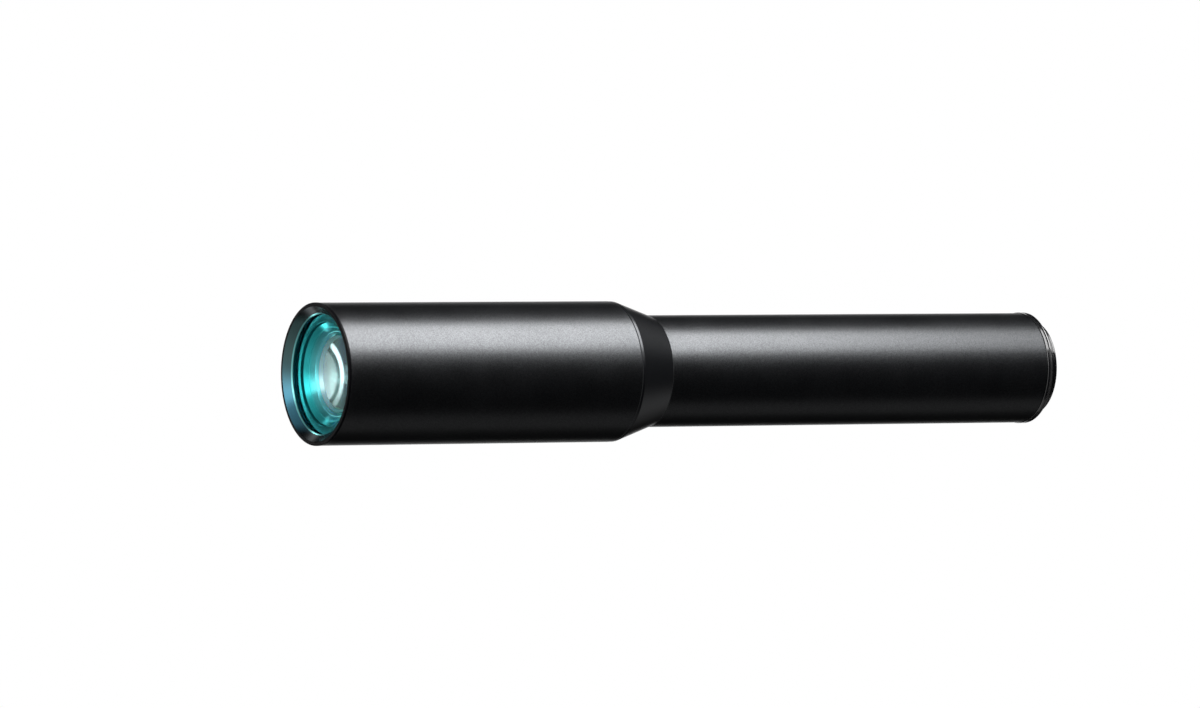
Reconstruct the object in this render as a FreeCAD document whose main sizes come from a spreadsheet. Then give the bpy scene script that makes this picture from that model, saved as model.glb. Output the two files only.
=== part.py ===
import FreeCAD, Part
import math
import os
import Sketcher
from types import SimpleNamespace

os.makedirs("parts", exist_ok=True)

# A telecentric lens: two tubes joined by a straight taper, a stepped objective at the front and a
# threaded camera spigot at the back. The optical axis is X. Stations are distances along it from
# the face of the front rim, and the row's origin is the centre of the camera flange face.

sizes = {
    # outside
    "front_barrel_diameter": 60.0,
    "front_barrel_length": 141.0,
    "rear_barrel_diameter": 47.8,
    "rear_barrel_length": 189.9,
    "taper_lip_setback": 0.05,
    "taper_lip_length": 1.3,
    "taper_length": 17.3,
    "edge_break": 0.25,
    # front rim ring
    "rim_proud": 0.08,
    "rim_thickness": 1.0,
    "rim_face_width": 1.58,
    "rim_bevel_width": 3.3,
    "rim_bevel_depth": 3.1,
    "rim_land": 0.2,
    "rim_thread_wall": 1.4,
    "rim_thread_runout": 0.7,
    # first element
    "front_lens_seat": 1.4,
    "front_lens_thickness": 3.6,
    "front_lens_face_radius": 240.0,
    "front_lens_back_radius": 300.0,
    # stepped ring behind it
    "step_face_width": 3.5,
    "step_dish_depth": 0.45,
    "step_mouth_length": 1.4,
    "first_step_depth": 1.55,
    "first_step_width": 2.1,
    "second_step_depth": 1.7,
    "second_step_width": 1.9,
    "third_step_depth": 0.8,
    "third_step_width": 1.7,
    "step_edge": 0.35,
    # front doublet and its cell
    "cell_lip_width": 1.0,
    "doublet_seat": 2.5,
    "crown_face_radius": 100.0,
    "crown_thickness": 5.8,
    "cement_radius": 52.0,
    "flint_thickness": 3.0,
    "flint_back_radius": 210.0,
    "cell_lip": 0.8,
    "cell_length": 14.0,
    "cell_thread_step": 1.1,
    "lock_ring_clear": 0.5,
    "lock_ring_thickness": 3.2,
    # inside of the front barrel
    "front_shoulder_step": 1.6,
    "front_shoulder_length": 3.0,
    "front_tube_wall": 3.0,
    "baffle_wall": 1.5,
    "baffle_fin": 0.8,
    "front_baffle_mouth": 40.0,
    "front_baffle_throat": 26.0,
    # taper adapter and stop
    "front_neck_wall": 2.0,
    "front_neck_length": 12.0,
    "rear_neck_wall": 1.5,
    "rear_neck_length": 10.0,
    "adapter_wall": 3.9,
    "stop_seat_diameter": 34.0,
    "stop_seat_depth": 4.5,
    "stop_web": 3.0,
    "stop_web_bore": 22.0,
    "stop_thickness": 0.4,
    "stop_hole_diameter": 14.0,
    "stop_ring_bore": 26.0,
    "stop_ring_thickness": 3.3,
    # inside of the rear barrel
    "rear_tube_wall": 2.4,
    "rear_baffle_length": 65.4,
    "rear_baffle_mouth": 24.0,
    "rear_baffle_throat": 32.0,
    "rear_shoulder_step": 1.5,
    "rear_shoulder_length": 3.0,
    # rear group and its cell
    "rear_cell_wall": 3.5,
    "rear_cell_length": 24.0,
    "rear_cell_lip": 1.0,
    "rear_lens_seat": 2.0,
    "rear_flint_face_radius": 150.0,
    "rear_flint_thickness": 2.6,
    "rear_cement_radius": 55.0,
    "rear_crown_thickness": 8.4,
    "rear_crown_back_radius": 75.0,
    "rear_spacer_clear": 0.2,
    "rear_spacer_length": 5.0,
    "singlet_face_radius": 90.0,
    "singlet_thickness": 6.0,
    "singlet_back_radius": 300.0,
    "rear_cell_thread_step": 0.7,
    "rear_lock_ring_thickness": 3.2,
    # camera end
    "rear_ring_proud": 0.3,
    "rear_ring_thickness": 1.05,
    "flange_groove_depth": 0.6,
    "flange_groove_length": 0.85,
    "flange_lip": 0.6,
    "camera_neck_length": 9.2,
    "camera_neck_wall": 3.4,
    "spigot_diameter": 42.0,
    "spigot_length": 4.4,
    "spigot_chamfer": 0.5,
    "spigot_wall": 1.9,
    "field_lip": 2.0,
    "field_thread_step": 0.5,
    "field_lens_seat": 1.5,
    "field_lens_face_radius": 160.0,
    "field_lens_thickness": 4.2,
    "field_ring_clear": 0.2,
    "field_ring_thickness": 2.6,
    # fits
    "slide_clearance": 0.05,
    "glass_clearance": 0.05,
    "thread_clearance": 0.05,
    "runout_clearance": 0.3,
    "spanner_slot_width": 2.0,
    "spanner_slot_depth": 1.2,
}

FRONT_BAFFLE_FINS = 6
REAR_BAFFLE_FINS = 4

doc = FreeCAD.newDocument("TelecentricLens")
sheet = doc.addObject("Spreadsheet::Sheet", "Sizes")
for row, (name, number) in enumerate(sizes.items(), start=1):
    sheet.set("A%d" % row, name)
    sheet.set("B%d" % row, str(number))
    sheet.setAlias("B%d" % row, name)
doc.recompute()


class Size:
    """A length as the sheet's expression and as the number it has now."""

    def __init__(self, text, number):
        self.text = text
        self.number = number

    def __add__(self, other):
        other = as_size(other)
        return Size("(%s + %s)" % (self.text, other.text), self.number + other.number)

    def __sub__(self, other):
        other = as_size(other)
        return Size("(%s - %s)" % (self.text, other.text), self.number - other.number)

    def __mul__(self, other):
        other = as_size(other)
        return Size("(%s * %s)" % (self.text, other.text), self.number * other.number)

    def __truediv__(self, other):
        other = as_size(other)
        return Size("(%s / %s)" % (self.text, other.text), self.number / other.number)


def as_size(value):
    return value if isinstance(value, Size) else Size(repr(float(value)), float(value))


def sag(radius, height):
    """How far a sphere of this radius falls away from its crest at this height off the axis."""
    root = Size(
        "sqrt(%s * %s - %s * %s)" % (radius.text, radius.text, height.text, height.text),
        math.sqrt(radius.number**2 - height.number**2),
    )
    return radius - root


z = SimpleNamespace(**{name: Size("Sizes." + name, number) for name, number in sizes.items()})
front_face = as_size(0)

# Diameters across the front barrel, each a named wall or step away from its neighbour.
rim_diameter = z.front_barrel_diameter + z.rim_proud * 2
rim_mouth_diameter = rim_diameter - z.rim_face_width * 2
rim_clear_diameter = rim_mouth_diameter - z.rim_bevel_width * 2
rim_thread_diameter = z.front_barrel_diameter - z.rim_thread_wall * 2
front_lens_diameter = rim_clear_diameter + z.front_lens_seat * 2
step_mouth_diameter = rim_clear_diameter - z.step_face_width * 2
first_step_diameter = step_mouth_diameter - z.first_step_width * 2
second_step_diameter = first_step_diameter - z.second_step_width * 2
third_step_diameter = second_step_diameter - z.third_step_width * 2
doublet_clear_diameter = third_step_diameter - z.cell_lip_width * 2
doublet_diameter = doublet_clear_diameter + z.doublet_seat * 2
cell_thread_diameter = doublet_diameter + z.cell_thread_step * 2
lock_ring_bore = doublet_clear_diameter + z.lock_ring_clear * 2
front_shoulder_bore = front_lens_diameter - z.front_shoulder_step * 2
front_tube_bore = z.front_barrel_diameter - z.front_tube_wall * 2
front_neck_diameter = z.front_barrel_diameter - z.front_neck_wall * 2
taper_lip_diameter = z.front_barrel_diameter - z.taper_lip_setback * 2

# Diameters across the rear barrel and the camera end.
rear_neck_diameter = z.rear_barrel_diameter - z.rear_neck_wall * 2
adapter_bore = rear_neck_diameter - z.adapter_wall * 2
rear_tube_bore = z.rear_barrel_diameter - z.rear_tube_wall * 2
rear_shoulder_bore = rear_tube_bore - z.rear_shoulder_step * 2
rear_lens_diameter = rear_tube_bore - z.rear_cell_wall * 2
rear_clear_diameter = rear_lens_diameter - z.rear_lens_seat * 2
rear_spacer_bore = rear_clear_diameter + z.rear_spacer_clear * 2
rear_cell_thread_diameter = rear_lens_diameter + z.rear_cell_thread_step * 2
rear_ring_diameter = z.rear_barrel_diameter + z.rear_ring_proud * 2
flange_groove_diameter = rear_ring_diameter - z.flange_groove_depth * 2
camera_neck_bore = rear_neck_diameter - z.camera_neck_wall * 2
spigot_bore = z.spigot_diameter - z.spigot_wall * 2
field_lens_diameter = camera_neck_bore - z.field_thread_step * 2
field_clear_diameter = field_lens_diameter - z.field_lens_seat * 2
field_ring_bore = field_clear_diameter + z.field_ring_clear * 2

# Stations of the outer pieces, each from the one before it.
barrel_start = front_face + z.rim_thickness
barrel_end = barrel_start + z.front_barrel_length
taper_start = barrel_end + z.taper_lip_length
taper_end = taper_start + z.taper_length
rear_barrel_end = taper_end + z.rear_barrel_length
rear_ring_end = rear_barrel_end + z.rear_ring_thickness
flange_lip_start = rear_ring_end + z.flange_groove_length
flange_face = flange_lip_start + z.flange_lip
spigot_end = flange_face + z.spigot_length

sub_parts = []


def new_body(name):
    """A body whose X is the optical axis, set back so that the flange face is the row's origin."""
    body = doc.addObject("PartDesign::Body", name)
    body.Label = name
    body.setExpression("Placement.Base.x", "-" + flange_face.text)
    sub_parts.append(body)
    return body


def new_sketch(body, name, role):
    sketch = body.newObject("Sketcher::SketchObject", name)
    plane = [item for item in body.Origin.OriginFeatures if item.Role == role][0]
    sketch.AttachmentSupport = [(plane, "")]
    sketch.MapMode = "FlatFace"
    return sketch


def hold(sketch, kind, edge, end, distance):
    """Tie one end of an edge to the sketch's origin by a distance from the sheet."""
    if abs(distance.number) < 1e-9:
        axis = -2 if kind == "DistanceX" else -1
        sketch.addConstraint(Sketcher.Constraint("PointOnObject", edge, end, axis))
        return
    index = sketch.addConstraint(Sketcher.Constraint(kind, edge, end, distance.number))
    sketch.setExpression("Constraints[%d]" % index, distance.text)


def revolve(body, sketch):
    """Turn a closed outline a full circle about the optical axis."""
    turn = body.newObject("PartDesign::Revolution", body.Name + "_turned")
    turn.Profile = sketch
    turn.ReferenceAxis = (sketch, ["H_Axis"])
    turn.Angle = 360
    return turn


def turned(name, outline):
    """A lathe-turned piece. The outline is its corners in order, as (station, diameter)."""
    body = new_body(name)
    sketch = new_sketch(body, name + "_outline", "XZ_Plane")
    corners = [FreeCAD.Vector(station.number, width.number / 2, 0) for station, width in outline]
    edges = []
    for index, corner in enumerate(corners):
        following = corners[(index + 1) % len(corners)]
        edges.append(sketch.addGeometry(Part.LineSegment(corner, following)))
    for index, edge in enumerate(edges):
        following = edges[(index + 1) % len(edges)]
        sketch.addConstraint(Sketcher.Constraint("Coincident", edge, 2, following, 1))
    for edge, (station, width) in zip(edges, outline):
        hold(sketch, "DistanceX", edge, 1, station)
        hold(sketch, "DistanceY", edge, 1, width / 2)
    revolve(body, sketch)
    return body


def arc_ends(starts_at_rim):
    """The numbers of an arc's rim end and axis end. An arc runs from its lower angle."""
    return (1, 2) if starts_at_rim else (2, 1)


def arc_between(centre, radius, low, high):
    """The arc from the lower to the higher angle about a centre on the axis."""
    circle = Part.Circle(FreeCAD.Vector(centre, 0, 0), FreeCAD.Vector(0, 0, 1), radius)
    return Part.ArcOfCircle(circle, low, high)


def lens(name, crest, face_radius, thickness, back_radius, width, face_bulges, back_bulges):
    """A ground lens: two spherical faces about the axis and a cylindrical edge.

    A face that bulges faces out of the glass, and one that doesn't is hollow. A back radius of
    None makes the back flat.
    """
    body = new_body(name)
    sketch = new_sketch(body, name + "_section", "XZ_Plane")
    rim = width / 2
    back_crest = crest + thickness
    tilt = math.asin(rim.number / face_radius.number)
    if face_bulges:
        face_centre = crest + face_radius
        face_edge = crest + sag(face_radius, rim)
        face = arc_between(face_centre.number, face_radius.number, math.pi - tilt, math.pi)
    else:
        face_centre = crest - face_radius
        face_edge = crest - sag(face_radius, rim)
        face = arc_between(face_centre.number, face_radius.number, 0, tilt)
    face_rim_end, face_axis_end = arc_ends(face_bulges)
    face_arc = sketch.addGeometry(face)
    if back_radius is None:
        back_edge = back_crest
        foot = FreeCAD.Vector(back_crest.number, 0, 0)
        head = FreeCAD.Vector(back_crest.number, rim.number, 0)
        back = sketch.addGeometry(Part.LineSegment(foot, head))
        back_rim_end, back_axis_end = arc_ends(False)
    else:
        tilt = math.asin(rim.number / back_radius.number)
        if back_bulges:
            back_centre = back_crest - back_radius
            back_edge = back_crest - sag(back_radius, rim)
            arc = arc_between(back_centre.number, back_radius.number, 0, tilt)
        else:
            back_centre = back_crest + back_radius
            back_edge = back_crest + sag(back_radius, rim)
            arc = arc_between(back_centre.number, back_radius.number, math.pi - tilt, math.pi)
        back_rim_end, back_axis_end = arc_ends(not back_bulges)
        back = sketch.addGeometry(arc)
    start = FreeCAD.Vector(face_edge.number, rim.number, 0)
    end = FreeCAD.Vector(back_edge.number, rim.number, 0)
    edge = sketch.addGeometry(Part.LineSegment(start, end))
    foot = FreeCAD.Vector(back_crest.number, 0, 0)
    axis = sketch.addGeometry(Part.LineSegment(foot, FreeCAD.Vector(crest.number, 0, 0)))
    sketch.addConstraint(Sketcher.Constraint("Coincident", face_arc, face_rim_end, edge, 1))
    sketch.addConstraint(Sketcher.Constraint("Coincident", edge, 2, back, back_rim_end))
    sketch.addConstraint(Sketcher.Constraint("Coincident", back, back_axis_end, axis, 1))
    sketch.addConstraint(Sketcher.Constraint("Coincident", axis, 2, face_arc, face_axis_end))
    sketch.addConstraint(Sketcher.Constraint("PointOnObject", axis, 1, -1))
    sketch.addConstraint(Sketcher.Constraint("PointOnObject", axis, 2, -1))
    sketch.addConstraint(Sketcher.Constraint("PointOnObject", face_arc, 3, -1))
    sketch.addConstraint(Sketcher.Constraint("Horizontal", edge))
    hold(sketch, "DistanceX", axis, 2, crest)
    hold(sketch, "DistanceX", axis, 1, back_crest)
    hold(sketch, "DistanceX", face_arc, 3, face_centre)
    hold(sketch, "DistanceY", edge, 1, rim)
    if back_radius is None:
        sketch.addConstraint(Sketcher.Constraint("Vertical", back))
    else:
        sketch.addConstraint(Sketcher.Constraint("PointOnObject", back, 3, -1))
        hold(sketch, "DistanceX", back, 3, back_centre)
    revolve(body, sketch)
    return body


def spanner_slots(body, face_station, width):
    """Two slots for a pin spanner, milled straight across the back face of a ring."""
    sketch = new_sketch(body, body.Name + "_slots", "YZ_Plane")
    sketch.setExpression("AttachmentOffset.Base.z", face_station.text)
    reach = width.number
    half = z.spanner_slot_width.number / 2
    corners = [(-reach, -half), (reach, -half), (reach, half), (-reach, half)]
    points = [FreeCAD.Vector(across, up, 0) for across, up in corners]
    edges = []
    for index, point in enumerate(points):
        edges.append(sketch.addGeometry(Part.LineSegment(point, points[(index + 1) % 4])))
    for index, edge in enumerate(edges):
        sketch.addConstraint(Sketcher.Constraint("Coincident", edge, 2, edges[(index + 1) % 4], 1))
    for edge in (edges[0], edges[2]):
        sketch.addConstraint(Sketcher.Constraint("Horizontal", edge))
    for edge in (edges[1], edges[3]):
        sketch.addConstraint(Sketcher.Constraint("Vertical", edge))
    hold(sketch, "DistanceX", edges[1], 1, width)
    hold(sketch, "DistanceX", edges[0], 1, width * -1)
    hold(sketch, "DistanceY", edges[2], 1, z.spanner_slot_width / 2)
    hold(sketch, "DistanceY", edges[0], 1, z.spanner_slot_width / -2)
    doc.recompute()
    whole = body.Shape.Volume
    slots = body.newObject("PartDesign::Pocket", body.Name + "_spanner_slots")
    slots.Profile = sketch
    slots.Type = "Length"
    slots.setExpression("Length", z.spanner_slot_depth.text)
    doc.recompute()
    if not body.Shape.Volume < whole:
        slots.Reversed = True
        doc.recompute()
    if not body.Shape.Volume < whole:
        raise RuntimeError("the spanner slots cut nothing on " + body.Name)
    return slots


# Front rim ring: screws into the mouth of the front barrel and clamps the glass stack. Its rim
# stands a little proud of the barrel, and a bevel leads in to the first element.
rim_back = front_face + z.rim_bevel_depth + z.rim_land
turned("front_ring", [
    (front_face, rim_mouth_diameter),
    (front_face, rim_diameter - z.edge_break * 2),
    (front_face + z.edge_break, rim_diameter),
    (barrel_start, rim_diameter),
    (barrel_start, rim_thread_diameter),
    (rim_back, rim_thread_diameter),
    (rim_back, rim_clear_diameter),
    (front_face + z.rim_bevel_depth, rim_clear_diameter),
])

# First element: a thin meniscus, clamped between the rim ring and the stepped ring.
front_lens_crest = rim_back - sag(z.front_lens_face_radius, rim_clear_diameter / 2)
front_lens_rim = front_lens_crest + z.front_lens_thickness
front_lens_rim = front_lens_rim + sag(z.front_lens_back_radius, front_lens_diameter / 2)
lens("front_lens", front_lens_crest, z.front_lens_face_radius, z.front_lens_thickness,
     z.front_lens_back_radius, front_lens_diameter, True, False)

# Stepped ring: spaces the first element from the front cell. Its face is dished inside the seat,
# and a short bore and three funnel steps lead in to the doublet.
step_front = front_lens_rim
mouth_start = step_front + z.step_dish_depth
mouth_end = mouth_start + z.step_mouth_length
first_step = mouth_end + z.first_step_depth
second_step = first_step + z.second_step_depth
step_back = second_step + z.third_step_depth
turned("step_ring", [
    (step_front, rim_clear_diameter),
    (step_front, front_lens_diameter),
    (step_back, front_lens_diameter),
    (step_back, third_step_diameter),
    (second_step, second_step_diameter - z.step_edge * 2),
    (second_step, second_step_diameter),
    (first_step, first_step_diameter - z.step_edge * 2),
    (first_step, first_step_diameter),
    (mouth_end, step_mouth_diameter - z.step_edge * 2),
    (mouth_end, step_mouth_diameter),
    (mouth_start, step_mouth_diameter),
])

# Front cell: a turned cup with a thin lip in front, which the doublet is pressed against.
cell_start = step_back
cell_seat = cell_start + z.cell_lip
cell_end = cell_start + z.cell_length
crown_crest = cell_seat + sag(z.crown_face_radius, doublet_diameter / 2)
cement_crest = crown_crest + z.crown_thickness
flint_crest = cement_crest + z.flint_thickness
lock_ring_start = flint_crest - sag(z.flint_back_radius, lock_ring_bore / 2)
lock_ring_end = lock_ring_start + z.lock_ring_thickness
doublet_pocket = doublet_diameter + z.glass_clearance * 2
turned("front_cell", [
    (cell_start, doublet_clear_diameter),
    (cell_start, front_lens_diameter),
    (cell_end, front_lens_diameter),
    (cell_end, cell_thread_diameter),
    (lock_ring_start - z.runout_clearance, cell_thread_diameter),
    (lock_ring_start - z.runout_clearance, doublet_pocket),
    (cell_seat, doublet_pocket),
    (cell_seat, doublet_clear_diameter),
])

# Front doublet: a crown with a hollow face, cemented to a flint with one shared radius.
lens("front_crown", crown_crest, z.crown_face_radius, z.crown_thickness,
     z.cement_radius, doublet_diameter, False, True)
lens("front_flint", cement_crest, z.cement_radius, z.flint_thickness,
     z.flint_back_radius, doublet_diameter, False, True)

# Front lock ring: screwed into the cell behind the doublet, tightened with a pin spanner.
lock_ring_diameter = cell_thread_diameter - z.thread_clearance * 2
lock_ring = turned("front_lock_ring", [
    (lock_ring_start, lock_ring_bore),
    (lock_ring_start, lock_ring_diameter),
    (lock_ring_end, lock_ring_diameter),
    (lock_ring_end, lock_ring_bore),
])
spanner_slots(lock_ring, lock_ring_end, lock_ring_diameter)

# Front barrel: a tube bored from both ends up to one inner shoulder, which the stack seats on.
stack_bore = front_lens_diameter + z.slide_clearance * 2
shoulder_end = cell_end + z.front_shoulder_length
front_neck_start = barrel_end - z.front_neck_length
neck_thread_bore = front_neck_diameter + z.thread_clearance * 2
rim_thread_bore = rim_thread_diameter + z.thread_clearance * 2
turned("front_barrel", [
    (barrel_start, z.front_barrel_diameter - z.edge_break * 2),
    (barrel_start + z.edge_break, z.front_barrel_diameter),
    (barrel_end - z.edge_break, z.front_barrel_diameter),
    (barrel_end, z.front_barrel_diameter - z.edge_break * 2),
    (barrel_end, neck_thread_bore),
    (front_neck_start - z.runout_clearance, neck_thread_bore),
    (front_neck_start - z.runout_clearance, front_tube_bore),
    (shoulder_end, front_tube_bore),
    (shoulder_end, front_shoulder_bore),
    (cell_end, front_shoulder_bore),
    (cell_end, stack_bore),
    (rim_back + z.rim_thread_runout, stack_bore),
    (rim_back + z.rim_thread_runout, rim_thread_bore),
    (barrel_start, rim_thread_bore),
])


def baffle_outline(start, end, outer, mouth, throat, fins):
    """A thin tube with evenly spaced inner fins whose holes go from one width to another."""
    bore = outer - z.baffle_wall * 2
    pitch = (end - start - z.baffle_fin) / (fins - 1)
    outline = [(end, outer), (start, outer)]
    for index in range(fins):
        fin_start = start + pitch * index
        fin_end = fin_start + z.baffle_fin
        hole = mouth + (throat - mouth) * (index / (fins - 1))
        if index > 0:
            outline.append((fin_start, bore))
        outline.append((fin_start, hole))
        outline.append((fin_end, hole))
        if index < fins - 1:
            outline.append((fin_end, bore))
    return outline


# Front baffle: a blackened tube with glare fins that narrow towards the stop.
front_baffle_diameter = front_tube_bore - z.slide_clearance * 2
turned("front_baffle", baffle_outline(
    shoulder_end, front_neck_start, front_baffle_diameter,
    z.front_baffle_mouth, z.front_baffle_throat, FRONT_BAFFLE_FINS,
))

# Taper adapter: reducer with a threaded neck at each end, a short lip that carries on the line of
# the front barrel, a straight cone, and an inner web that the stop lies on.
rear_neck_end = taper_end + z.rear_neck_length
stop_web_start = front_neck_start + z.stop_seat_depth
stop_web_end = stop_web_start + z.stop_web
turned("taper_adapter", [
    (front_neck_start, z.stop_seat_diameter),
    (front_neck_start, front_neck_diameter - z.edge_break * 2),
    (front_neck_start + z.edge_break, front_neck_diameter),
    (barrel_end, front_neck_diameter),
    (barrel_end, taper_lip_diameter - z.edge_break * 2),
    (barrel_end + z.edge_break, taper_lip_diameter),
    (taper_start, taper_lip_diameter),
    (taper_end, z.rear_barrel_diameter),
    (taper_end, rear_neck_diameter),
    (rear_neck_end - z.edge_break, rear_neck_diameter),
    (rear_neck_end, rear_neck_diameter - z.edge_break * 2),
    (rear_neck_end, adapter_bore),
    (stop_web_end, adapter_bore),
    (stop_web_end, z.stop_web_bore),
    (stop_web_start, z.stop_web_bore),
    (stop_web_start, z.stop_seat_diameter),
])

# Aperture stop: a thin blackened disc at the common focus of the two groups.
stop_start = stop_web_start - z.stop_thickness
stop_disc_diameter = z.stop_seat_diameter - z.slide_clearance * 2
turned("aperture_stop", [
    (stop_start, z.stop_hole_diameter),
    (stop_start, stop_disc_diameter),
    (stop_web_start, stop_disc_diameter),
    (stop_web_start, z.stop_hole_diameter),
])

# Stop lock ring: holds the disc on the web. Its slots face the front.
stop_ring_start = stop_start - z.stop_ring_thickness
turned("stop_lock_ring", [
    (stop_ring_start, z.stop_ring_bore),
    (stop_ring_start, z.stop_seat_diameter - z.thread_clearance * 2),
    (stop_start, z.stop_seat_diameter - z.thread_clearance * 2),
    (stop_start, z.stop_ring_bore),
])

# Rear baffle: the same kind of tube, with fins that open out from the stop to the rear group.
rear_baffle_end = rear_neck_end + z.rear_baffle_length
rear_inner_diameter = rear_tube_bore - z.slide_clearance * 2
turned("rear_baffle", baffle_outline(
    rear_neck_end, rear_baffle_end, rear_inner_diameter,
    z.rear_baffle_mouth, z.rear_baffle_throat, REAR_BAFFLE_FINS,
))

# Rear cell: cup for the rear group, pressed against the inner shoulder by the rear baffle.
rear_cell_seat = rear_baffle_end + z.rear_cell_lip
rear_cell_end = rear_baffle_end + z.rear_cell_length
rear_flint_crest = rear_cell_seat - sag(z.rear_flint_face_radius, rear_clear_diameter / 2)
rear_cement_crest = rear_flint_crest + z.rear_flint_thickness
rear_crown_crest = rear_cement_crest + z.rear_crown_thickness
rear_spacer_start = rear_crown_crest - sag(z.rear_crown_back_radius, rear_spacer_bore / 2)
rear_spacer_end = rear_spacer_start + z.rear_spacer_length
singlet_crest = rear_spacer_end - sag(z.singlet_face_radius, rear_spacer_bore / 2)
singlet_back_crest = singlet_crest + z.singlet_thickness
rear_lock_start = singlet_back_crest - sag(z.singlet_back_radius, rear_spacer_bore / 2)
rear_lock_end = rear_lock_start + z.rear_lock_ring_thickness
rear_pocket = rear_lens_diameter + z.glass_clearance * 2
turned("rear_cell", [
    (rear_baffle_end, rear_clear_diameter),
    (rear_baffle_end, rear_inner_diameter),
    (rear_cell_end, rear_inner_diameter),
    (rear_cell_end, rear_cell_thread_diameter),
    (rear_lock_start - z.runout_clearance, rear_cell_thread_diameter),
    (rear_lock_start - z.runout_clearance, rear_pocket),
    (rear_cell_seat, rear_pocket),
    (rear_cell_seat, rear_clear_diameter),
])

# Rear doublet, flint first, then a spacer and the last power element.
lens("rear_flint", rear_flint_crest, z.rear_flint_face_radius, z.rear_flint_thickness,
     z.rear_cement_radius, rear_lens_diameter, True, False)
lens("rear_crown", rear_cement_crest, z.rear_cement_radius, z.rear_crown_thickness,
     z.rear_crown_back_radius, rear_lens_diameter, True, True)
turned("rear_spacer", [
    (rear_spacer_start, rear_spacer_bore),
    (rear_spacer_start, rear_lens_diameter),
    (rear_spacer_end, rear_lens_diameter),
    (rear_spacer_end, rear_spacer_bore),
])
lens("rear_singlet", singlet_crest, z.singlet_face_radius, z.singlet_thickness,
     z.singlet_back_radius, rear_lens_diameter, True, True)

# Rear lock ring: screwed into the cell behind the rear group.
rear_lock_diameter = rear_cell_thread_diameter - z.thread_clearance * 2
rear_lock_ring = turned("rear_lock_ring", [
    (rear_lock_start, rear_spacer_bore),
    (rear_lock_start, rear_lock_diameter),
    (rear_lock_end, rear_lock_diameter),
    (rear_lock_end, rear_spacer_bore),
])
spanner_slots(rear_lock_ring, rear_lock_end, rear_lock_diameter)

# Rear barrel: the thinner tube, with an inner shoulder that the rear cell seats on and a female
# thread at each end.
rear_shoulder_end = rear_cell_end + z.rear_shoulder_length
rear_thread_bore = rear_neck_diameter + z.thread_clearance * 2
camera_neck_start = rear_barrel_end - z.camera_neck_length
turned("rear_barrel", [
    (taper_end, z.rear_barrel_diameter - z.edge_break * 2),
    (taper_end + z.edge_break, z.rear_barrel_diameter),
    (rear_barrel_end - z.edge_break, z.rear_barrel_diameter),
    (rear_barrel_end, z.rear_barrel_diameter - z.edge_break * 2),
    (rear_barrel_end, rear_thread_bore),
    (camera_neck_start - z.runout_clearance, rear_thread_bore),
    (camera_neck_start - z.runout_clearance, rear_tube_bore),
    (rear_shoulder_end, rear_tube_bore),
    (rear_shoulder_end, rear_shoulder_bore),
    (rear_cell_end, rear_shoulder_bore),
    (rear_cell_end, rear_tube_bore),
    (rear_neck_end + z.runout_clearance, rear_tube_bore),
    (rear_neck_end + z.runout_clearance, rear_thread_bore),
    (taper_end, rear_thread_bore),
])

# Rear ring: screwed on the neck of the camera mount, it locks the mount against the barrel.
turned("rear_ring", [
    (rear_barrel_end, rear_thread_bore),
    (rear_barrel_end, rear_ring_diameter - z.edge_break),
    (rear_barrel_end + z.edge_break / 2, rear_ring_diameter),
    (rear_ring_end - z.edge_break / 2, rear_ring_diameter),
    (rear_ring_end, rear_ring_diameter - z.edge_break),
    (rear_ring_end, rear_thread_bore),
])

# Camera mount: neck in the barrel, a grooved flange, and the spigot that takes the camera thread.
# The neck is threaded inside for the field lens ring, and the spigot's bore is relieved past it.
field_seat = camera_neck_start + z.field_lip
field_crest = field_seat - sag(z.field_lens_face_radius, field_clear_diameter / 2)
field_back = field_crest + z.field_lens_thickness
field_ring_end = field_back + z.field_ring_thickness
field_pocket = field_lens_diameter + z.glass_clearance * 2
turned("camera_mount", [
    (camera_neck_start, field_clear_diameter),
    (camera_neck_start, rear_neck_diameter - z.edge_break * 2),
    (camera_neck_start + z.edge_break, rear_neck_diameter),
    (rear_ring_end, rear_neck_diameter),
    (rear_ring_end, flange_groove_diameter),
    (flange_lip_start, flange_groove_diameter),
    (flange_lip_start, rear_ring_diameter),
    (flange_face - z.edge_break / 2, rear_ring_diameter),
    (flange_face, rear_ring_diameter - z.edge_break),
    (flange_face, z.spigot_diameter),
    (spigot_end - z.spigot_chamfer, z.spigot_diameter),
    (spigot_end, z.spigot_diameter - z.spigot_chamfer * 2),
    (spigot_end, spigot_bore),
    (field_ring_end + z.runout_clearance, spigot_bore),
    (field_ring_end + z.runout_clearance, camera_neck_bore),
    (field_back - z.runout_clearance, camera_neck_bore),
    (field_back - z.runout_clearance, field_pocket),
    (field_seat, field_pocket),
    (field_seat, field_clear_diameter),
])

# Field lens and the ring that holds it in the camera mount.
lens("field_lens", field_crest, z.field_lens_face_radius, z.field_lens_thickness,
     None, field_lens_diameter, True, False)
field_ring_diameter = camera_neck_bore - z.thread_clearance * 2
field_ring = turned("field_lock_ring", [
    (field_back, field_ring_bore),
    (field_back, field_ring_diameter),
    (field_ring_end, field_ring_diameter),
    (field_ring_end, field_ring_bore),
])
spanner_slots(field_ring, field_ring_end, field_ring_diameter)

doc.recompute()

for item in doc.Objects:
    if "Invalid" in item.State or "Error" in item.State:
        raise RuntimeError("%s failed: %s" % (item.Name, item.State))
for body in sub_parts:
    if body.Shape.isNull() or not body.Shape.isValid() or len(body.Shape.Solids) != 1:
        raise RuntimeError("%s is not one valid solid" % body.Label)
for body in sub_parts:
    body.Shape.exportStep("parts/%s.step" % body.Label)
    box = body.Shape.BoundBox
    print("%-16s %9.2f mm3  x %8.2f to %8.2f  across %6.2f"
          % (body.Label, body.Shape.Volume, box.XMin, box.XMax, box.YMax - box.YMin))
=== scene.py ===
import math

import bmesh
import bpy
from mathutils import Matrix, Vector


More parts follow.
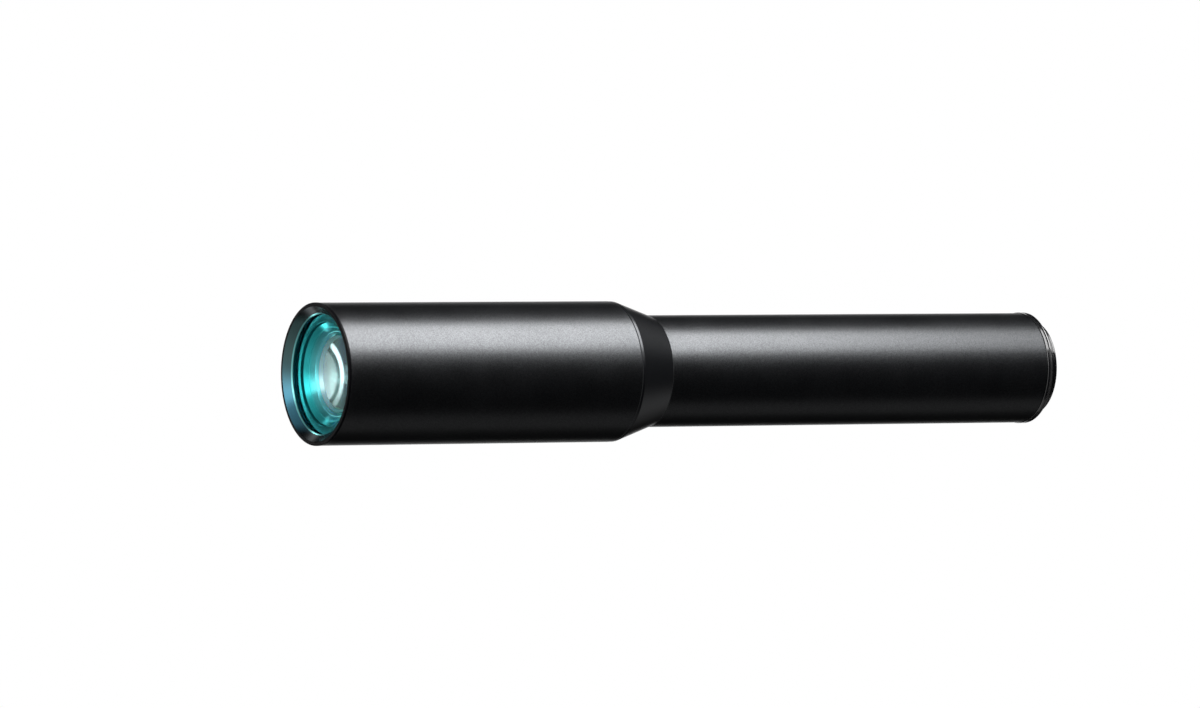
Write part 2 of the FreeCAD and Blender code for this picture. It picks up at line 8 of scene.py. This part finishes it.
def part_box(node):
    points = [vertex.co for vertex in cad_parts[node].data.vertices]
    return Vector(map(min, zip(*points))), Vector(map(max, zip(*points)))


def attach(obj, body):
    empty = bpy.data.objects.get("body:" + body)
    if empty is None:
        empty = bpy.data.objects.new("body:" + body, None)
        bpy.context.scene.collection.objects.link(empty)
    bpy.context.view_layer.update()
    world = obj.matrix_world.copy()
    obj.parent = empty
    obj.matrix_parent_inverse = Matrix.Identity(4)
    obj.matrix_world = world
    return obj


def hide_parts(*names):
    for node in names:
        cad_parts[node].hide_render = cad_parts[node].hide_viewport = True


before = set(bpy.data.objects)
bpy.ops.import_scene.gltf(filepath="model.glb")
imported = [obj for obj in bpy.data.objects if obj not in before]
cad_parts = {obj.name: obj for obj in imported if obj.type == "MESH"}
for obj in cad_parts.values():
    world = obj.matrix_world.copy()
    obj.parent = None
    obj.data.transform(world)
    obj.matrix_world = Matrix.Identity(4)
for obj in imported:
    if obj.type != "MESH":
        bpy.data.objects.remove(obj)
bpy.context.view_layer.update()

# Camera: it sees the front and the near side of the lens, the optical axis turned 30.4 degrees off
# the picture plane, from a hair above, through a very long focal length. Lengths are in metres.
axis_turn = math.radians(-30.4)
camera_rise = math.radians(0.79)
focal_mm = 285.0
film_mm = 36.0
face_distance = 3.978
face_left_of_centre = 0.1194
face_below_centre = 0.00846
backwards = Vector((
    math.sin(axis_turn) * math.cos(camera_rise),
    -math.cos(axis_turn) * math.cos(camera_rise),
    math.sin(camera_rise),
))
rightwards = Vector((math.cos(axis_turn), math.sin(axis_turn), 0.0))
upwards = backwards.cross(rightwards)
front_face = Vector((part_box("front_ring")[0][0], 0.0, 0.0))
eye = front_face + backwards * face_distance
eye += rightwards * face_left_of_centre + upwards * face_below_centre
camera_data = bpy.data.cameras.new("camera")
camera_data.lens = focal_mm
camera_data.sensor_width = film_mm
camera = bpy.data.objects.new("camera", camera_data)
bpy.context.collection.objects.link(camera)
camera.matrix_world = Matrix.Translation(eye) @ Matrix((
    rightwards, upwards, backwards,
)).transposed().to_4x4()
bpy.context.scene.camera = camera
bpy.context.scene.view_settings.view_transform = "Standard"


# Studio: white behind the lens, as the camera, reflections and clear glass see it, a dim room all
# round, and soft lights that fade at their edges.
class Shade:
    """One output socket, so that the maths of a surface or of the studio reads as arithmetic."""

    def __init__(self, graph, socket):
        self.graph = graph
        self.socket = socket

    def maths(self, operation, first, second):
        return self.graph.node("ShaderNodeMath", {"operation": operation}, {0: first, 1: second})

    def __add__(self, other):
        return self.maths("ADD", self, other)

    def __radd__(self, other):
        return self.maths("ADD", other, self)

    def __sub__(self, other):
        return self.maths("SUBTRACT", self, other)

    def __rsub__(self, other):
        return self.maths("SUBTRACT", other, self)

    def __mul__(self, other):
        return self.maths("MULTIPLY", self, other)

    def __rmul__(self, other):
        return self.maths("MULTIPLY", other, self)

    def __truediv__(self, other):
        return self.maths("DIVIDE", self, other)


class Graph:
    """A node tree that is being written."""

    def __init__(self, tree):
        self.tree = tree
        tree.nodes.clear()

    def node(self, kind, settings, inputs, output=0):
        """A new node with its settings, and the values or links of its sockets."""
        made = self.tree.nodes.new(kind)
        for name, value in settings.items():
            setattr(made, name, value)
        for name, value in inputs.items():
            if isinstance(value, Shade):
                self.tree.links.new(value.socket, made.inputs[name])
            else:
                made.inputs[name].default_value = value
        return Shade(self, made.outputs[output]) if made.outputs else None

    def ramp(self, value, low, high):
        """Nought below the low value, one above the high one, and smooth between them."""
        return self.node("ShaderNodeMapRange", {"interpolation_type": "SMOOTHSTEP"}, {
            "Value": value, "From Min": low, "From Max": high,
        })


world = bpy.data.worlds.new("studio")
bpy.context.scene.world = world
world.use_nodes = True
studio = Graph(world.node_tree)
direction = studio.node("ShaderNodeTexCoord", {}, {}, "Generated")
x, y, z = (
    studio.node("ShaderNodeSeparateXYZ", {}, {"Vector": direction}, axis) for axis in "XYZ")

# All angles are in degrees. Azimuth is counted from straight before the lens towards its far side.
azimuth = y.maths("ARCTAN2", y, 0.0 - x) * math.degrees(1.0)
elevation = z.maths("ARCSINE", z, 0.0) * math.degrees(1.0)
tilt = elevation.maths("ABSOLUTE", elevation, 0.0)


def oval(across, up, half_across, half_up):
    """How far a direction is from an azimuth and elevation, as a share of an oval's edge there."""
    sideways = (azimuth - across) / half_across
    upright = (elevation - up) / half_up
    reach = sideways * sideways + upright * upright
    return reach.maths("SQRT", reach, 0.0)


def fading(value, low, high):
    """One below the low value, nought above the high one, and smooth between them."""
    return 1.0 - studio.ramp(value, low, high)


# Card: the hollow face of the doublet throws it back as the bright disc. It is dimmer below and
# towards its far edge, and a thin band of light beyond that edge makes the white arc.
card = oval(across=35.5, up=0.0, half_across=20.0, half_up=9.8)
card_foot = 0.8
card_top = 2.2 - studio.ramp(azimuth, 16.0, 46.0) * 1.2
card_light = card_foot + studio.ramp(elevation, -5.0, 4.5) * card_top
card_light = card_light * fading(card, 0.94, 1.02)
band_radiance = 4.0 - studio.ramp(elevation, -3.0, 8.0) * 3.3
band_light = studio.ramp(card, 1.09, 1.16) * fading(card, 1.23, 1.33)
band_light = band_light * studio.ramp(azimuth, 50.0, 54.0) * band_radiance

# Strip: it slants down from the near side to the far one and lights the bevel and the steps.
strip_radiance = 1.35
strip_slant = 0.29
off_strip = elevation - 17.0 + azimuth * strip_slant
strip_light = studio.ramp(off_strip, -32.0, -3.0) * fading(off_strip, 4.0, 14.0) * strip_radiance
strip_light = strip_light * studio.ramp(azimuth, -82.0, -64.0) * fading(azimuth, 10.0, 34.0)

# Small lights high and low on the far side glint on the steps. Wide faint ones light the front.
glint_radiance = 2.6
high_glint = fading(oval(across=76.0, up=41.0, half_across=11.0, half_up=8.0), 0.5, 1.4)
low_glint = fading(oval(across=70.0, up=-38.0, half_across=11.0, half_up=8.0), 0.5, 1.4)
glints = (high_glint + low_glint) * glint_radiance
glow_radiance = 0.25
front_glow = fading(oval(across=-25.0, up=8.0, half_across=62.0, half_up=46.0), 0.5, 1.5)
front_glow = front_glow * glow_radiance
before_radiance = 0.2
before = studio.ramp(0.0 - x, 0.1, 0.6) * before_radiance

# Light behind the lens, above and below its level, draws the upper and lower parts of the taper.
level_radiance = 0.025
tilted_radiance = 0.2
behind = level_radiance + studio.ramp(tilt, 12.0, 27.0) * tilted_radiance
behind = studio.ramp(x, 0.68, 0.88) * behind
room = 0.01
lit = room + card_light + band_light + strip_light + glints + front_glow + before + behind

# Bounced rays see the white only where the backdrop stands.
backdrop = fading(oval(across=120.0, up=0.0, half_across=14.0, half_up=20.0), 0.4, 1.4)
camera_ray = studio.node("ShaderNodeLightPath", {}, {}, "Is Camera Ray")
glossy_ray = studio.node("ShaderNodeLightPath", {}, {}, "Is Glossy Ray")
clear_ray = studio.node("ShaderNodeLightPath", {}, {}, "Is Transmission Ray")
bounced = (glossy_ray + clear_ray) * backdrop
white = camera_ray.maths("MAXIMUM", camera_ray, bounced)
light = studio.node("ShaderNodeBackground", {}, {
    "Color": (1.0, 1.0, 1.0, 1.0), "Strength": lit * (1.0 - white) + white,
})
studio.node("ShaderNodeOutputWorld", {}, {"Surface": light})


# Panels: three soft ones above and to the right of the camera draw the long highlight down both
# barrels. A dim strip below draws the faint line under it.
def panel(name, middle, aim, width, height, radiance):
    """A flat soft light of this radiance, whose width lies along the optical axis."""
    lamp_data = bpy.data.lights.new(name, "AREA")
    lamp_data.shape = "RECTANGLE"
    lamp_data.size = width
    lamp_data.size_y = height
    lamp_data.energy = radiance * width * height * math.pi
    lamp = bpy.data.objects.new(name, lamp_data)
    bpy.context.collection.objects.link(lamp)
    away = (Vector(middle) - Vector(aim)).normalized()
    across = (Vector((1.0, 0.0, 0.0)) - away * away.x).normalized()
    lamp.matrix_world = Matrix.Translation(middle) @ Matrix((
        across, away.cross(across), away,
    )).transposed().to_4x4()
    lamp.visible_camera = False


panel(
    "key_panel", middle=(0.0, -0.335, 0.625), aim=(-0.15, 0.0, 0.0), width=0.60, height=0.60,
    radiance=10.0,
)
panel(
    "key_end", middle=(0.45, -0.335, 0.625), aim=(0.3, 0.0, 0.0), width=0.30, height=0.60,
    radiance=2.6,
)
panel(
    "key_skirt", middle=(0.03, -0.614, 0.354), aim=(-0.15, 0.0, 0.0), width=0.60, height=0.21,
    radiance=0.8,
)
panel(
    "fill_strip", middle=(0.0, -0.03, -0.235), aim=(0.0, 0.0, 0.0), width=0.9, height=0.14,
    radiance=0.15,
)


# Barrels: two long aluminium tubes, bead blasted and black anodised, screwed onto the taper
# adapter, with a fine even sparkle in the highlight.
class Finish(Graph):
    """A material with one surface shader, whose constants are set on the shader itself."""

    def __init__(self, name, **constants):
        self.material = bpy.data.materials.new(name)
        self.material.use_nodes = True
        super().__init__(self.material.node_tree)
        self.shader = self.tree.nodes.new("ShaderNodeBsdfPrincipled")
        output = self.tree.nodes.new("ShaderNodeOutputMaterial")
        self.tree.links.new(self.shader.outputs[0], output.inputs["Surface"])
        self.place = self.node("ShaderNodeTexCoord", {}, {}, "Object")
        for socket, value in constants.items():
            self.shader.inputs[socket.replace("_", " ")].default_value = value

    def along(self, axis):
        """How far a place lies along this axis, in metres."""
        return self.node("ShaderNodeSeparateXYZ", {}, {"Vector": self.place}, axis)

    def noise(self, scale, detail):
        return self.node("ShaderNodeTexNoise", {}, {
            "Vector": self.place, "Scale": scale, "Detail": detail,
        })

    def blend(self, amount, first, second):
        """One colour where the amount is nought, the other where it is one."""
        inputs = {0: amount, 6: first, 7: second}
        return self.node("ShaderNodeMix", {"data_type": "RGBA"}, inputs, 2)

    def bump(self, height, strength, distance):
        return self.node("ShaderNodeBump", {}, {
            "Height": height, "Strength": strength, "Distance": distance,
        })

    def feed(self, **sockets):
        """Link values to the surface shader's sockets."""
        for socket, value in sockets.items():
            self.tree.links.new(value.socket, self.shader.inputs[socket.replace("_", " ")])

    def mottle(self, scale, dark, pale, rough=None, spread=0.0):
        """Fine noise between two colours and, where rough is given, in the roughness too."""
        noise = self.noise(scale, 1.0)
        self.feed(Base_Color=self.blend(noise, dark, pale))
        if rough is not None:
            self.feed(Roughness=rough + noise * spread)

    def cover(self, *names):
        """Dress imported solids."""
        for name in names:
            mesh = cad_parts[name].data
            mesh.materials.clear()
            mesh.materials.append(self.material)


anodised_tint = (0.93, 0.96, 1.0, 1.0)
satin = Finish("satin_black", IOR=1.5, Specular_IOR_Level=1.0, Specular_Tint=anodised_tint)
grain = satin.noise(scale=1700.0, detail=2.0)
bead_marks = {"Vector": satin.place, "Scale": 4000.0}
cells = satin.node("ShaderNodeTexVoronoi", {}, bead_marks, "Color")
speckle = satin.node("ShaderNodeSeparateColor", {}, {"Color": cells}, "Red")
cloud = satin.noise(scale=60.0, detail=3.0)
satin.feed(
    Base_Color=satin.blend(cloud, (0.0010, 0.0011, 0.0015, 1), (0.0018, 0.0020, 0.0026, 1)),
    Roughness=0.28 + cloud * 0.10,
    Metallic=speckle * 0.45,
    Normal=satin.bump(grain, strength=0.18, distance=0.0001),
)
satin.cover("front_barrel", "rear_barrel")

# Taper adapter: an aluminium cone that joins the two barrels, turned on the lathe and anodised
# without blasting, so it is smoother and darker.
taper = Finish("taper_black", IOR=1.5, Specular_IOR_Level=0.55, Specular_Tint=anodised_tint)
taper.mottle(
    scale=1500.0, dark=(0.0022, 0.0024, 0.0030, 1), pale=(0.0034, 0.0036, 0.0044, 1),
    rough=0.26, spread=0.06,
)
taper.cover("taper_adapter")

# Inner pieces: lock rings, baffles, the stop, the rear cell and its spacer, turned in aluminium,
# but for the thin steel stop. They are blackened, so that they swallow stray light.
inner = Finish("inner_black", Specular_IOR_Level=0.2)
inner.mottle(
    scale=1200.0, dark=(0.004, 0.004, 0.005, 1), pale=(0.008, 0.008, 0.009, 1),
    rough=0.50, spread=0.1,
)
inner.cover(
    "front_lock_ring", "front_baffle", "aperture_stop", "stop_lock_ring",
    "rear_baffle", "rear_cell", "rear_spacer", "rear_lock_ring", "field_lock_ring",
)

# Front rim ring: an aluminium ring screwed into the mouth, with a thin black rim and a polished
# bevel that leads in to the first element, painted blue-green like the coated glass. The bevel is
# bluer below and greyer above, a painted reflection of a light from below, and darker at its top
# and foot, painted shade that keeps glints off them. The bevel's inner edge is a bright line.
mm_per_m = 1000
crease_angle = math.radians(35.0)


def finished(name, shape, *finishes):
    """The object made from a mesh in the making, smooth but for its sharp edges."""
    mesh = bpy.data.meshes.new(name)
    shape.to_mesh(mesh)
    shape.free()
    for face in mesh.polygons:
        face.use_smooth = True
    mesh.set_sharp_from_angle(angle=crease_angle)
    for finish in finishes:
        mesh.materials.append(finish.material)
    piece = bpy.data.objects.new(name, mesh)
    bpy.context.collection.objects.link(piece)
    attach(piece, "root")
    return piece


def spin_section(shape, steps):
    """Turn a section once round the optical axis."""
    bmesh.ops.spin(
        shape, geom=shape.verts[:] + shape.edges[:], cent=(0.0, 0.0, 0.0), axis=(1.0, 0.0, 0.0),
        angle=math.tau, steps=steps, use_merge=True, use_duplicate=False,
    )


def turn(name, start, corners, *finishes, steps=256, nearness=2e-6):
    """A lathe-turned piece from its corners: station and radius in mm, and how far each is eased.

    The stations are counted from the start.
    """
    shape = bmesh.new()
    points = []
    for station, radius, easing in corners:
        points.append(shape.verts.new((start + station / mm_per_m, 0.0, radius / mm_per_m)))
    for index, point in enumerate(points):
        shape.edges.new((point, points[(index + 1) % len(points)]))
    spin_section(shape, steps)
    bmesh.ops.recalc_face_normals(shape, faces=shape.faces[:])
    for easing in sorted({corner[2] for corner in corners} - {0.0}):
        rings = []
        for edge in shape.edges:
            ends = [(vert.co.x, math.hypot(vert.co.y, vert.co.z)) for vert in edge.verts]
            for station, radius, wanted in corners:
                here = (start + station / mm_per_m, radius / mm_per_m)
                if wanted == easing and all(
                        abs(along - here[0]) < nearness and abs(reach - here[1]) < nearness
                        for along, reach in ends):
                    rings.append(edge)
        bmesh.ops.bevel(
            shape, geom=rings, offset=easing / mm_per_m, segments=4, profile=0.5, affect="EDGES",
            material=-1, clamp_overlap=True,
        )
    return finished(name, shape, *finishes)


def reach_mm(face):
    """How far the middle of a face is from the optical axis."""
    return math.hypot(face.center.y, face.center.z) * mm_per_m


def station_mm(face):
    """How far the middle of a face is behind the front face of the lens."""
    return (face.center.x - front_face.x) * mm_per_m


rim_black = Finish("rim_black", IOR=1.14)
rim_black.mottle(
    scale=1400.0, dark=(0.002, 0.002, 0.003, 1), pale=(0.004, 0.004, 0.005, 1),
    rough=0.30, spread=0.1,
)
lead_in = Finish("lead_in", Metallic=1.0)
height = lead_in.along("Z")
from_level = height.maths("ABSOLUTE", height, 0.0)
brushed = lead_in.noise(scale=900.0, detail=1.0)
# Painted reflection: the bevel's colour is bluer below and greyer above, as if lit from below.
bevel_painted_reflection = lead_in.blend(
    lead_in.ramp(height, -0.014, 0.010), (0.08, 0.26, 0.36, 1), (0.11, 0.20, 0.20, 1))
# Painted shade: the bevel's colour turns near black at its top and foot, where the glints would
# show.
painted_shade_top_and_foot = lead_in.ramp(from_level, 0.0205, 0.0255)
lead_in.feed(
    Base_Color=lead_in.blend(painted_shade_top_and_foot, bevel_painted_reflection, (0.008, 0.012, 0.014, 1)),
    Roughness=0.20 + brushed * 0.06,
)
rim_lip = Finish("rim_lip", Metallic=1.0)
rim_lip.mottle(
    scale=900.0, dark=(0.24, 0.74, 0.74, 1), pale=(0.28, 0.80, 0.80, 1), rough=0.22, spread=0.06,
)
rim = turn("front_rim", front_face.x, [
    (0.0, 28.5, 0.12), (0.0, 29.83, 0.0), (0.25, 30.08, 0.0), (1.0, 30.08, 0.0),
    (1.0, 28.6, 0.0), (3.3, 28.6, 0.0), (3.3, 25.2, 0.0), (3.1, 25.2, 0.15), (2.62, 25.711, 0.0),
], rim_black, lead_in, rim_lip)
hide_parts("front_ring")
bevel_outside = 28.49
bevel_end = 3.2
lip_outside = 25.7
for face in rim.data.polygons:
    if reach_mm(face) < bevel_outside and station_mm(face) < bevel_end:
        face.material_index = 2 if reach_mm(face) < lip_outside else 1

# Stepped ring behind the first element: a dished face, a short bore and three funnel steps, turned
# bright and coloured blue-green, whose edges catch the light as rings. It is clamped in the mouth.
teal = Finish("step_teal", Metallic=1.0)
sheen = teal.noise(scale=700.0, detail=1.0)
side = teal.along("Y")
rise = teal.along("Z")
from_axis = side * side + rise * rise
from_axis = from_axis.maths("SQRT", from_axis, 0.0)
steps_hue = teal.blend(
    teal.ramp(from_axis, 0.0165, 0.0205), (0.26, 0.70, 0.74, 1), (0.06, 0.68, 0.70, 1))
dish = teal.ramp(from_axis, 0.0215, 0.0222)
teal.feed(
    Base_Color=teal.blend(dish, steps_hue, (0.025, 0.36, 0.38, 1)),
    Roughness=0.18 + sheen * 0.06,
)
deep_teal = Finish("bore_teal", Metallic=1.0)
deep_teal.mottle(
    scale=700.0, dark=(0.005, 0.16, 0.18, 1), pale=(0.008, 0.22, 0.24, 1), rough=0.30, spread=0.08,
)
steps_piece = turn("step_rings", front_face.x, [
    (6.75, 25.2, 0.0), (6.75, 26.6, 0.0), (12.65, 26.6, 0.0), (12.65, 16.0, 0.12),
    (11.85, 17.35, 0.12), (11.85, 17.7, 0.0), (10.15, 19.25, 0.12), (10.15, 19.6, 0.0),
    (8.6, 21.35, 0.12), (8.6, 21.7, 0.0), (7.2, 21.7, 0.25),
], teal, inner, deep_teal)
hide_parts("step_ring")
seat_end = 6.76
back_start = 12.64
outside_start = 26.2
bore_slope = 0.1
for face in steps_piece.data.polygons:
    if station_mm(face) > back_start or reach_mm(face) > outside_start:
        face.material_index = 1
    elif station_mm(face) < seat_end or abs(face.normal.x) < bore_slope:
        face.material_index = 2

# Front cell: a turned aluminium cup that holds the doublet, blackened but for the bevel of its
# front lip, which is turned bright like the stepped ring.
bright_lip = Finish("cell_lip", Metallic=1.0)
bright_lip.mottle(
    scale=900.0, dark=(0.74, 0.90, 0.91, 1), pale=(0.80, 0.94, 0.95, 1), rough=0.28, spread=0.06,
)
cell = turn("front_cell_body", front_face.x, [
    (12.65, 16.0, 0.0), (12.65, 26.6, 0.0), (26.65, 26.6, 0.0), (26.65, 18.6, 0.0),
    (22.93, 18.6, 0.0), (22.93, 17.55, 0.0), (13.45, 17.55, 0.0), (13.45, 15.6, 0.0),
    (13.86, 14.75, 0.0),
], inner, bright_lip)
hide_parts("front_cell")
cell_lip_outside = 16.5
forward_slope = -0.1
for face in cell.data.polygons:
    if reach_mm(face) < cell_lip_outside and face.normal.x < forward_slope:
        face.material_index = 1


# Elements: ground glass bodies with polished faces. The first carries a blue-green coating that
# all but kills its reflection, the last a paler one, and the hollow face of the doublet shines.
def sag(radius_mm, reach):
    """How far a ground face falls back from its crest. The radius of a hollow face is negative."""
    if radius_mm is None:
        return 0.0
    radius = radius_mm / mm_per_m
    return radius - math.copysign(math.sqrt(radius * radius - reach * reach), radius)


def element(
        name, node, face_mm, back_mm, thickness_mm, polished, edge,
        rings=24, steps=192, weld=1e-7, edge_share=0.995):
    """A ground element in the place of its node: two polished faces and an edge."""
    low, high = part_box(node)
    half = (high[1] - low[1]) / 2
    crest = low[0] - min(0.0, sag(face_mm, half))
    shape = bmesh.new()
    section = []
    for ring in range(rings + 1):
        reach = half * ring / rings
        section.append((crest + sag(face_mm, reach), 0.0, reach))
    for ring in range(rings, -1, -1):
        reach = half * ring / rings
        section.append((crest + thickness_mm / mm_per_m + sag(back_mm, reach), 0.0, reach))
    points = [shape.verts.new(place) for place in section]
    for first, second in zip(points, points[1:]):
        shape.edges.new((first, second))
    spin_section(shape, steps)
    bmesh.ops.remove_doubles(shape, verts=shape.verts[:], dist=weld)
    bmesh.ops.recalc_face_normals(shape, faces=shape.faces[:])
    piece = finished(name, shape, polished, edge)
    for face in piece.data.polygons:
        if reach_mm(face) > half * mm_per_m * edge_share:
            face.material_index = 1
    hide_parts(node)
    return piece


coated = Finish(
    "coated_glass", Transmission_Weight=1.0, IOR=1.52, Roughness=0.0, Thin_Film_Thickness=165.0,
    Thin_Film_IOR=1.23, Specular_Tint=(0.06, 0.32, 0.40, 1.0),
)
coated.mottle(scale=40.0, dark=(0.82, 0.97, 0.98, 1), pale=(0.84, 0.98, 0.99, 1))
ground = Finish("ground_edge", Specular_IOR_Level=0.3)
ground.mottle(
    scale=2600.0, dark=(0.03, 0.38, 0.40, 1), pale=(0.04, 0.45, 0.47, 1), rough=0.5, spread=0.1,
)
shining = Finish(
    "shining_glass", Transmission_Weight=1.0, IOR=1.65, Roughness=0.0, Coat_Weight=1.0,
    Coat_IOR=3.0, Coat_Roughness=0.02,
)
shining.mottle(scale=40.0, dark=(0.80, 0.95, 0.94, 1), pale=(0.84, 0.97, 0.96, 1))
clear = Finish("optical_glass", Transmission_Weight=1.0, IOR=1.75, Roughness=0.0)
clear.mottle(scale=40.0, dark=(0.92, 0.97, 0.96, 1), pale=(0.94, 0.98, 0.98, 1))
clear.cover("rear_flint", "rear_crown", "rear_singlet")
blooming = Finish(
    "field_coating", Transmission_Weight=1.0, IOR=1.7, Roughness=0.0,
    Specular_Tint=(0.45, 0.85, 0.90, 1.0),
)
blooming.mottle(scale=40.0, dark=(0.86, 0.96, 0.97, 1), pale=(0.90, 0.98, 0.98, 1))
first_glass = element(
    "first_element", "front_lens", face_mm=240.0, back_mm=300.0, thickness_mm=3.6,
    polished=coated, edge=ground,
)
crown = element(
    "crown_element", "front_crown", face_mm=-100.0, back_mm=-52.0, thickness_mm=5.8,
    polished=shining, edge=inner,
)
flint = element(
    "flint_element", "front_flint", face_mm=-52.0, back_mm=-210.0, thickness_mm=3.0,
    polished=clear, edge=inner,
)
last_glass = element(
    "field_element", "field_lens", face_mm=160.0, back_mm=None, thickness_mm=4.2,
    polished=blooming, edge=ground,
)

# Ring at the rear of the rear barrel: an aluminium ring, turned bright before it was anodised, so
# it is glossy.
gloss = Finish(
    "gloss_black", IOR=1.5, Specular_IOR_Level=1.0, Coat_Weight=1.0, Coat_IOR=2.0,
    Coat_Roughness=0.16,
)
gloss.mottle(
    scale=900.0, dark=(0.002, 0.002, 0.003, 1), pale=(0.004, 0.004, 0.005, 1),
    rough=0.12, spread=0.06,
)
gloss.cover("rear_ring")

# Camera mount: a glossy neck in the barrel, a grooved flange, and a spigot with a 42 mm thread of
# 1 mm pitch, cut on the lathe. The turns are a ridge wound round the spigot's core.
flange_face = 0.0
mount = turn("camera_mount_body", flange_face, [
    (-11.7, 17.0, 0.0), (-11.7, 22.15, 0.0), (-11.45, 22.4, 0.0), (-1.45, 22.4, 0.0),
    (-1.45, 23.6, 0.0), (-0.6, 23.6, 0.0), (-0.6, 24.2, 0.1), (0.0, 24.2, 0.15),
    (0.0, 21.0, 0.0), (0.3, 21.0, 0.0), (0.7, 20.4, 0.0), (3.85, 20.4, 0.0), (4.4, 20.4, 0.12),
    (4.4, 19.1, 0.1), (-3.51, 19.1, 0.0), (-3.51, 19.0, 0.0), (-6.71, 19.0, 0.0),
    (-6.71, 18.55, 0.0), (-9.7, 18.55, 0.0), (-9.7, 17.0, 0.0),
], gloss)
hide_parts("camera_mount")
pitch_mm = 1.0
turns = 3.0
turn_steps = 128
ridge_section = [(0.46, 20.38), (0.86, 21.0), (0.98, 21.0), (1.38, 20.38)]
ridge = bmesh.new()
ridge_points = [
    ridge.verts.new((station / mm_per_m, 0.0, radius / mm_per_m))
    for station, radius in ridge_section
]
ridge_face = ridge.faces.new(ridge_points)
bmesh.ops.spin(
    ridge, geom=[ridge_face], cent=(0.0, 0.0, 0.0), axis=(1.0, 0.0, 0.0),
    angle=math.tau * turns, steps=int(turn_steps * turns), use_duplicate=False, use_merge=False,
    dvec=(pitch_mm / mm_per_m / turn_steps, 0.0, 0.0),
)
bmesh.ops.recalc_face_normals(ridge, faces=ridge.faces[:])
thread = finished("camera_thread_turns", ridge, gloss)
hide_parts("camera_mount")

# Floor: a pale disc well below the held lens, white to the camera, which keeps the soft shadow.
# Bounced rays pass through it.
floor_middle = (-0.176, 0.15, -0.25)
floor_radius = 0.75
disc = bmesh.new()
bmesh.ops.create_circle(disc, cap_ends=True, segments=96, radius=floor_radius)
bmesh.ops.translate(disc, verts=disc.verts, vec=floor_middle)
floor_mesh = bpy.data.meshes.new("floor")
disc.to_mesh(floor_mesh)
disc.free()
floor = bpy.data.objects.new("floor", floor_mesh)
bpy.context.collection.objects.link(floor)
pale_floor = Finish("pale_floor", Roughness=0.9, Specular_IOR_Level=0.0, Emission_Strength=1.0)
seen = pale_floor.node("ShaderNodeLightPath", {}, {}, "Is Camera Ray")
pale_floor.feed(
    Base_Color=pale_floor.blend(seen, (0.01, 0.01, 0.01, 1), (0.80, 0.80, 0.80, 1)),
    Emission_Color=pale_floor.blend(seen, (0.0, 0.0, 0.0, 1), (0.60, 0.60, 0.60, 1)),
    Alpha=seen,
)
floor_mesh.materials.append(pale_floor.material)
